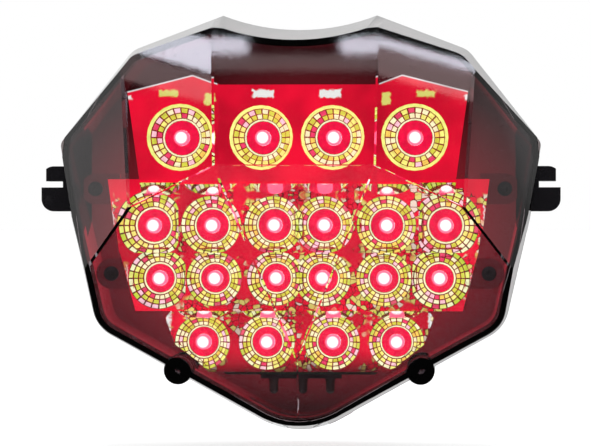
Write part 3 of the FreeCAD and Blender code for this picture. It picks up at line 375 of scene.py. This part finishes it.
def tier(name, cups, seed):
    """A row of cells, each with its mirror image, as one piece with plate and facets in their own materials."""
    dice = np.random.default_rng(seed)
    points, quads, kinds, first = [], [], [], 0
    for (x, z), corners, mouth, floor_radius, floor, face, shares in cups:
        for side in (1, -1):
            outline = [(side * a, b) for a, b in corners]
            p, q, k = cell(np.array([side * x, z]) * MM, outline, mouth * MM, floor_radius * MM, floor * MM,
                           face * MM, shares, dice)
            points.append(p)
            quads.append(q + first)
            kinds.append(k)
            first += len(p)
    kinds = np.concatenate(kinds)
    mesh = bpy.data.meshes.new(name)
    mesh.from_pydata(np.concatenate(points), [], np.concatenate(quads).tolist())
    mesh.attributes.new("painted_light_code", "FLOAT", "FACE").data.foreach_set("value", kinds.astype(np.float32))
    mesh.materials.append(plate)
    mesh.materials.append(mirrors)
    mesh.polygons.foreach_set("material_index", (kinds > PLATE).astype(np.int32))
    made = bpy.data.objects.new(name, mesh)
    bpy.context.scene.collection.objects.link(made)
    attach(made, "root")
    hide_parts("reflector")
    return made


def patch_mask():
    """Mask of a pair of mirrored patches: 1 where |x| is between Left and Right and z between Bottom and Top,
    with edges half a millimetre soft that a fine noise breaks up."""
    tree, given, end = effect("mirrored_patch", {"Left": 0.0, "Right": 0.01, "Bottom": 0.0, "Top": 0.01},
                              "Mask")
    where = add(tree, "TexCoord").outputs["Object"]
    parts = add(tree, "SeparateXYZ", {0: where}).outputs
    ragged = spread(tree, add(tree, "TexNoise", {"Vector": where, "Scale": 700.0}).outputs[0], 0.3, 0.7,
                    -0.0004, 0.0004)
    side = maths(tree, "ADD", maths(tree, "ABSOLUTE", parts[0]), ragged)
    up = maths(tree, "ADD", parts[2], ragged)
    mask = 1.0
    for value, low, high in ((side, given["Left"], given["Right"]), (up, given["Bottom"], given["Top"])):
        for room in (maths(tree, "SUBTRACT", value, low), maths(tree, "SUBTRACT", high, value)):
            mask = maths(tree, "MULTIPLY", mask, spread(tree, room, 0.0, 0.0005))
    end(mask)
    return tree


PATCH = patch_mask()
# The plate's emission is painted light: a red glow standing for the LED light the metallised face catches,
# varied by a noise.
plate, tree, shader = finish("metallised_plate", (0.3, 0.06, 0.07, 1), (0.2, 0.05, 0.05, 1), 0.15, 0.3,
                             Metallic=1.0)
kind = add(tree, "Attribute", attribute_name="painted_light_code").outputs["Fac"]
where = add(tree, "TexCoord").outputs["Object"]
# Painted highlights: pairs of mirrored patches on the plate glow pale or yellow, standing for glints of light.
glints = [
    ((0.8, 1.0, 0.9, 1), 1.1, [(7.0, 14.4, 28.6, 31.6), (52.4, 54.4, 28.0, 30.0), (41.2, 43.2, -50.0, -39.6),
                               (58.4, 59.3, -15.0, -4.0), (54.8, 55.6, -33.0, -24.0)]),
    ((0.74, 0.88, 0.2, 1), 1.0, [(37.4, 43.9, 29.0, 31.6), (26.2, 29.4, 26.4, 30.6)]),
]
mottle = add(tree, "TexNoise", {"Vector": where, "Scale": 60.0, "Detail": 2.0}).outputs[0]
glowing = maths(tree, "GREATER_THAN", kind, PLATE - 0.5)
strength = spread(tree, mottle, 0.3, 0.7, 0.6 * GLOW, 1.1 * GLOW)
colour = (0.9, 0.006, 0.04, 1)
for glint_colour, glint_strength, patches in glints:
    for left, right, bottom, top in patches:
        mask = placed(tree, PATCH, Left=left * MM, Right=right * MM, Bottom=bottom * MM, Top=top * MM)
        colour = blend_colours(tree, mask, colour, glint_colour)
        strength = spread(tree, mask, 0.0, 1.0, strength, glint_strength * GLOW)
parts = add(tree, "SeparateXYZ", {0: where}).outputs
side = maths(tree, "ABSOLUTE", parts[0])
# The crest is the tops of the outer cups' plates: two straight edges that meet in a peak.
crest = maths(tree, "MINIMUM", maths(tree, "MULTIPLY_ADD", side, -0.2524, 0.04463),
              maths(tree, "MULTIPLY_ADD", side, 0.375, 0.02393))
# Painted highlight: a thin pale line along the crest, standing for its polished lip catching the light.
painted_crest_highlight = maths(tree, "MULTIPLY", maths(tree, "GREATER_THAN", side, 0.0256),
                   spread(tree, maths(tree, "SUBTRACT", crest, parts[2]), 0.0003, 0.0006, 1.0, 0.0))
colour = blend_colours(tree, painted_crest_highlight, colour, (0.8, 1.0, 0.95, 1))
# Painted glints: near the cups some small cells of the plate glow yellow or pale, standing for sparkle of light
# on the metallised face, with dark lines between the cells.
GLINT_CELL_SCALE = 620.0
glint_cells = add(tree, "TexVoronoi", {"Vector": where, "Scale": GLINT_CELL_SCALE})
glint_pick = add(tree, "SeparateXYZ", {0: glint_cells.outputs["Color"]}).outputs[0]
near_cups = maths(tree, "MULTIPLY", maths(tree, "LESS_THAN", parts[2], 0.0),
                  spread(tree, add(tree, "TexNoise", {"Vector": where, "Scale": 130.0}).outputs[0], 0.46, 0.54))
colour = blend_colours(tree, maths(tree, "MULTIPLY", near_cups, maths(tree, "GREATER_THAN", glint_pick, 0.66)),
                       colour, (0.80, 0.86, 0.2, 1))
colour = blend_colours(tree, maths(tree, "MULTIPLY", near_cups, maths(tree, "GREATER_THAN", glint_pick, 0.88)),
                       colour, (0.9, 0.85, 0.66, 1))
glint_cell_edge = add(tree, "TexVoronoi", {"Vector": where, "Scale": GLINT_CELL_SCALE},
                feature="DISTANCE_TO_EDGE").outputs[0]
colour = blend_colours(tree, maths(tree, "MULTIPLY", near_cups, maths(tree, "LESS_THAN", glint_cell_edge, 0.06)),
                       colour, (0.16, 0.006, 0.01, 1))
# The painted glow dims towards the plate's foot.
foot_fade = spread(tree, parts[2], -0.0588, -0.052, 0.1, 1.0)
tree.links.new(maths(tree, "MULTIPLY", glowing, maths(tree, "MULTIPLY", foot_fade, strength)),
               shader.inputs["Emission Strength"])
tree.links.new(colour, shader.inputs["Emission Color"])

# The mirrors' emission is painted reflection: the ramp turns each face's code into a colour standing for the
# LED light it would show, red on the floor, yellow to near white on the facets, dark in the joints; a noise
# varies its strength.
mirrors, tree, shader = finish("cup_mirrors", (0.1, 0.09, 0.05, 1), (0.08, 0.06, 0.04, 1), 0.15, 0.0,
                               Metallic=1.0)
painted_light_code = add(tree, "Attribute", attribute_name="painted_light_code").outputs["Fac"]
ramp = add(tree, "ValToRGB", {"Fac": spread(tree, painted_light_code, -2.0, 1.0)})
ramp.color_ramp.interpolation = "CONSTANT"
stops = [(0.0, (0.07, 0.006, 0.002)), (0.2, (0.80, 0.007, 0.06)), (0.5, (0.70, 0.95, 0.20)),
         (0.76, (0.76, 1.0, 0.56)), (0.85, (0.46, 0.72, 0.05)), (0.93, (0.74, 0.70, 0.10)),
         (0.955, (0.60, 0.04, 0.13)), (0.98, (0.80, 0.62, 0.68))]
while len(ramp.color_ramp.elements) < len(stops):
    ramp.color_ramp.elements.new(0.5)
for element, (at, colour) in zip(ramp.color_ramp.elements, stops):
    element.position = at
    element.color = (*colour, 1)
tree.links.new(ramp.outputs[0], shader.inputs["Emission Color"])
where = add(tree, "TexCoord").outputs["Object"]
flicker = add(tree, "TexNoise", {"Vector": where, "Scale": 450.0, "Detail": 2.0}).outputs[0]
tree.links.new(spread(tree, flicker, 0.3, 0.7, 1.0 * GLOW, 1.4 * GLOW), shader.inputs["Emission Strength"])

tier("reflector_top_tier", [
    ((11.4, 16.3), [(0, 1.8), (25, 1.8), (25, 33), (0, 33)], 20.2 / 2, 5.4, 10, 23, PLAIN_RIM),
    ((37, 16.3), [(25, 1.8), (50, 1.8), (54, 31), (33, 36.3), (25, 33.3)], 21.4 / 2, 5.65, 10, 19, PLAIN_RIM),
], 1)
tier("reflector_second_tier", [
    ((8.1, -11.4), [(0, -20.2), (18.1, -20.2), (18.1, 3), (0, 3)], 9.4, 5.3, 2, 12, FACETED_RIM),
    ((28, -11.4), [(18.1, -20.2), (38.4, -20.2), (38.4, 3), (18.1, 3)], 9.6, 5.3, 2, 12, FACETED_RIM),
    ((47, -11.4), [(38.4, -20.2), (57.5, -20.2), (60.5, 3), (38.4, 3)], 10.8, 5.4, 2, 12, FACETED_RIM),
], 2)
tier("reflector_third_tier", [
    ((7.5, -28.5), [(0, -39), (17.3, -39), (17.3, -20.2), (0, -20.2)], 9.0, 4.7, 2, 9, FACETED_RIM),
    ((27.1, -28.5), [(17.3, -39), (36.3, -39), (36.3, -20.2), (17.3, -20.2)], 9.0, 4.7, 2, 9, FACETED_RIM),
    ((45, -28.5), [(36.3, -39), (52.5, -39), (57.5, -20.2), (36.3, -20.2)], 9.9, 4.7, 2, 9, FACETED_RIM),
], 3)
tier("reflector_bottom_tier", [
    ((10.4, -49.2), [(0, -58.8), (20.75, -58.8), (20.75, -39), (0, -39)], 9.0, 4.9, -2, 5, FACETED_RIM),
    ((31.1, -49.2), [(20.75, -58.8), (29, -58.8), (40, -50), (44, -39), (20.75, -39)], 9.0, 4.9, -2, 5,
     FACETED_RIM),
], 4)


# ---------------------------------------------------------------------------
# Shelves: the sloping undersides of the reflector's steps, left bare and bright,
# so that they mirror the tops of the cups in the row below.
# ---------------------------------------------------------------------------

def shelf(left, right, front, back, thickness=0.0008):
    """A sloping strip from the front edge (ahead of the joint, height) to the back edge, as a closed bar: the
    four corners of its section carried from left to right."""
    section = np.array([front, back, (back[0], back[1] + thickness), (front[0], front[1] + thickness)])
    across = np.linspace(left, right, 9)
    points = np.stack([np.repeat(across, 4), JOINT - np.tile(section[:, 0], 9), np.tile(section[:, 1], 9)], -1)
    i, j = np.meshgrid(np.arange(8), np.arange(4), indexing="ij")
    quads = np.stack([i * 4 + j, i * 4 + (j + 1) % 4, (i + 1) * 4 + (j + 1) % 4, (i + 1) * 4 + j], -1)
    ends = [[3, 2, 1, 0], [32, 33, 34, 35]]
    return points, quads.reshape(-1, 4).tolist() + ends


def joined(name, material, shells):
    """One object made of several shells, each given as its points and its faces."""
    points, faces, first = [], [], 0
    for shell_points, shell_faces in shells:
        points.append(shell_points)
        faces += [[corner + first for corner in face] for face in shell_faces]
        first += len(shell_points)
    mesh = bpy.data.meshes.new(name)
    mesh.from_pydata(np.concatenate(points), [], faces)
    mesh.materials.append(material)
    made = bpy.data.objects.new(name, mesh)
    bpy.context.scene.collection.objects.link(made)
    return made


bright_shelf, _, _ = finish("bright_metal", (0.93, 0.9, 0.88, 1), (0.8, 0.75, 0.72, 1), 0.05, 0.2, 900.0,
                            0.000004, Metallic=1.0)
strips = [(-50, -25.2, (19, 1.8), (12.2, -1.6)), (-24.8, 24.8, (23, 1.8), (12.2, -1.6)),
          (25.2, 50, (19, 1.8), (12.2, -1.6)), (-44, 44, (9, -39.0), (5.2, -41.2))]
shelves = joined("reflector_shelves", bright_shelf,
                 [shelf(left * MM, right * MM, np.array(front) * MM, np.array(back) * MM)
                  for left, right, front, back in strips])
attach(shelves, "root")


# ---------------------------------------------------------------------------
# Reflector flanges: four black tabs that carry the reflector on the housing's
# posts, each round at its outer end where the screw goes through.
# ---------------------------------------------------------------------------

def tab(x, z, radius, root, front, back):
    """A tab along X from a root to a round end about (x, z): half a circle and two straight sides, given a
    thickness in Y. Returns its points and faces."""
    turn = np.linspace(-0.5, 0.5, 25) * math.pi
    side = math.copysign(1.0, x)
    outline = np.stack([np.append(np.append(root, x + side * radius * np.cos(turn)), root),
                        z + radius * np.sin(np.append(np.append(turn[0], turn), turn[-1]))], 1)[::int(side)]
    count = len(outline)
    points = np.stack([np.tile(outline[:, 0], 2), np.repeat([front, back], count),
                       np.tile(outline[:, 1], 2)], -1)
    i = np.arange(count)
    sides = np.stack([i, i + count, (i + 1) % count + count, (i + 1) % count], -1)
    return points, sides.tolist() + [i.tolist(), (i[::-1] + count).tolist()]


FLANGE_RADIUS, FLANGE_LENGTH, FLANGE_HALF = 5 * MM, 8 * MM, 0.9 * MM
flanges = joined("reflector_flanges", black_plastic, [
    tab(x * MM, z * MM, FLANGE_RADIUS, x * MM - math.copysign(FLANGE_LENGTH, x), JOINT - FLANGE_HALF,
        JOINT + FLANGE_HALF)
    for x, z in ((65.5, 0), (-65.5, 0), (61, -27), (-61, -27))])
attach(flanges, "root")


# ---------------------------------------------------------------------------
# Plate window: a clear moulding under the lamp that lights the number plate,
# and the bead of sealant that joins the lens to the housing.
# ---------------------------------------------------------------------------

clear, _, _ = finish("clear_acrylic", (0.97, 0.98, 0.98, 1), (0.9, 0.9, 0.9, 1), 0.04, 0.1,
                             Transmission_Weight=1.0, IOR=1.49)
wear(clear, "plate_window")
# Painted light: the bead is pale grey so that, seen through the smoked lens rim, it stands for light shining
# through the rim.
sealant, _, _ = finish("sealant_with_painted_light", (0.34, 0.29, 0.28, 1), (0.42, 0.38, 0.36, 1), 0.4, 0.3, 1500.0)
wear(sealant, "lens_seal")


# ---------------------------------------------------------------------------
# Lens: one smoked moulding of flat facets whose creases are slightly rounded,
# as the mould's polished edges leave them.
# ---------------------------------------------------------------------------

smoke, _, _ = finish("smoked_acrylic", (0.33, 0.27, 0.29, 1), (0.36, 0.31, 0.32, 1), 0.02, 0.15,
                             1800.0, 0.000002, Transmission_Weight=1.0, IOR=1.49)
shell = bmesh.new()
shell.from_mesh(nodes["lens"].data)
bmesh.ops.remove_doubles(shell, verts=shell.verts, dist=1e-6)
bmesh.ops.dissolve_limit(shell, angle_limit=math.radians(0.6), verts=shell.verts, edges=shell.edges)
lens_mesh = bpy.data.meshes.new("lens_shell")
lens_mesh.from_pydata([vert.co[:] for vert in shell.verts], [],
                      [[vert.index for vert in face.verts] for face in shell.faces])
shell.free()
lens_mesh.materials.append(smoke)
lens_mesh.shade_smooth()
lens = bpy.data.objects.new("lens_shell", lens_mesh)
bpy.context.scene.collection.objects.link(lens)
rounded = lens.modifiers.new("rounded_creases", "BEVEL")
rounded.width, rounded.segments, rounded.limit_method = 0.0013, 4, "ANGLE"
rounded.angle_limit = math.radians(9)
flat_faces = lens.modifiers.new("flat_faces", "WEIGHTED_NORMAL")
flat_faces.weight = 100
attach(lens, "root")
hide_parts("lens")


# ---------------------------------------------------------------------------
# Studio: a pale floor, white surroundings, and softboxes above and to the
# sides, whose edges show in the lens as pale patches.
# ---------------------------------------------------------------------------

low, high = (Vector(corner) for corner in cad_box)
aim = Vector((-0.0015, -0.032, -0.011))

floor_mesh = bpy.data.meshes.new("studio_floor")
reach = 30.0
under = low.z - 0.004
floor_mesh.from_pydata([(-reach, -reach, under), (reach, -reach, under), (reach, reach, under),
                        (-reach, reach, under)], [], [(0, 1, 2, 3)])
floor_paper, _, _ = finish("studio_paper", (0.92, 0.92, 0.92, 1), (0.88, 0.88, 0.88, 1), 0.9, 0.2, 400.0,
                           Emission_Color=(1, 1, 1, 1), Emission_Strength=0.7)
floor_mesh.materials.append(floor_paper)
floor = bpy.data.objects.new("studio_floor", floor_mesh)
bpy.context.scene.collection.objects.link(floor)
floor.visible_glossy = False

world = bpy.data.worlds.new("studio")
bpy.context.scene.world = world
world.use_nodes = True
tree = world.node_tree
heading = add(tree, "SeparateXYZ", {0: add(tree, "TexCoord").outputs["Generated"]}).outputs[1]
ambient = spread(tree, heading, 0.0, 0.16, 0.03, 0.85)
seen = add(tree, "LightPath").outputs["Is Camera Ray"]
tree.links.new(maths(tree, "MAXIMUM", ambient, seen), tree.nodes["Background"].inputs["Strength"])
tree.nodes["Background"].inputs["Color"].default_value = (1, 1, 1, 1)


def softbox(name, centre, along, facing, width, height, radiance, colour=(0.86, 0.88, 1.0)):
    """A rectangular lamp whose width runs along one direction. Power is radiance times pi times area."""
    lamp = bpy.data.lights.new(name, "AREA")
    lamp.shape, lamp.size, lamp.size_y, lamp.color = "RECTANGLE", width, height, colour
    lamp.energy = radiance * math.pi * width * height
    made = bpy.data.objects.new(name, lamp)
    right = Vector(along).normalized()
    up = right.cross(Vector(facing)).normalized()
    made.matrix_world = Matrix((right, up, right.cross(up))).transposed().to_4x4()
    made.location = centre
    bpy.context.scene.collection.objects.link(made)
    return made


dim = (1.0, 0.8, 0.8)
softbox("top_softbox", (0, -0.15, 0.9), (1, 0, 0), (0, 0.1, -0.9), 0.5, 0.12, 16.0)
softbox("left_softbox", (-0.7, -0.31, 0.2035), (0, 1, 0.06), (1, 0, 0), 0.20, 0.017, 14.0)
softbox("left_fill", (-0.7, -0.31, 0.186), (0, 1, 0.06), (1, 0, 0), 0.24, 0.014, 1.8, dim)
softbox("right_softbox", (0.7, -0.381, 0.2148), (0, 1, -0.479), (-1, 0, 0), 0.16, 0.0045, 14.0)
softbox("right_fill", (0.7, -0.381, 0.204), (0, 1, -0.479), (-1, 0, 0), 0.20, 0.014, 2.5, dim)
softbox("front_left_softbox", (-0.147, -1.0, 0.3595), (1, 0, 0), (0, 1, 0), 0.15, 0.010, 14.0)
softbox("front_right_softbox", (0.057, -1.0, 0.3595), (1, 0, 0), (0, 1, 0), 0.15, 0.010, 14.0)
softbox("front_fill", (0, -1.0, 0.349), (1, 0, 0), (0, 1, 0), 0.6, 0.010, 1.6, dim)

bearing = math.radians(2.6)
camera_distance = 1.2
camera_data = bpy.data.cameras.new("studio_camera")
camera_data.sensor_width = 36.0
camera_data.lens = 36.0 / (0.325e-3 * 591 / camera_distance)
camera = bpy.data.objects.new("studio_camera", camera_data)
back = Vector((math.sin(bearing), -math.cos(bearing), 0.0))
camera.location = aim + back * camera_distance
camera.rotation_euler = (-back).to_track_quat("-Z", "Y").to_euler()
bpy.context.scene.collection.objects.link(camera)
bpy.context.scene.camera = camera
bpy.context.scene.view_settings.view_transform = "Standard"
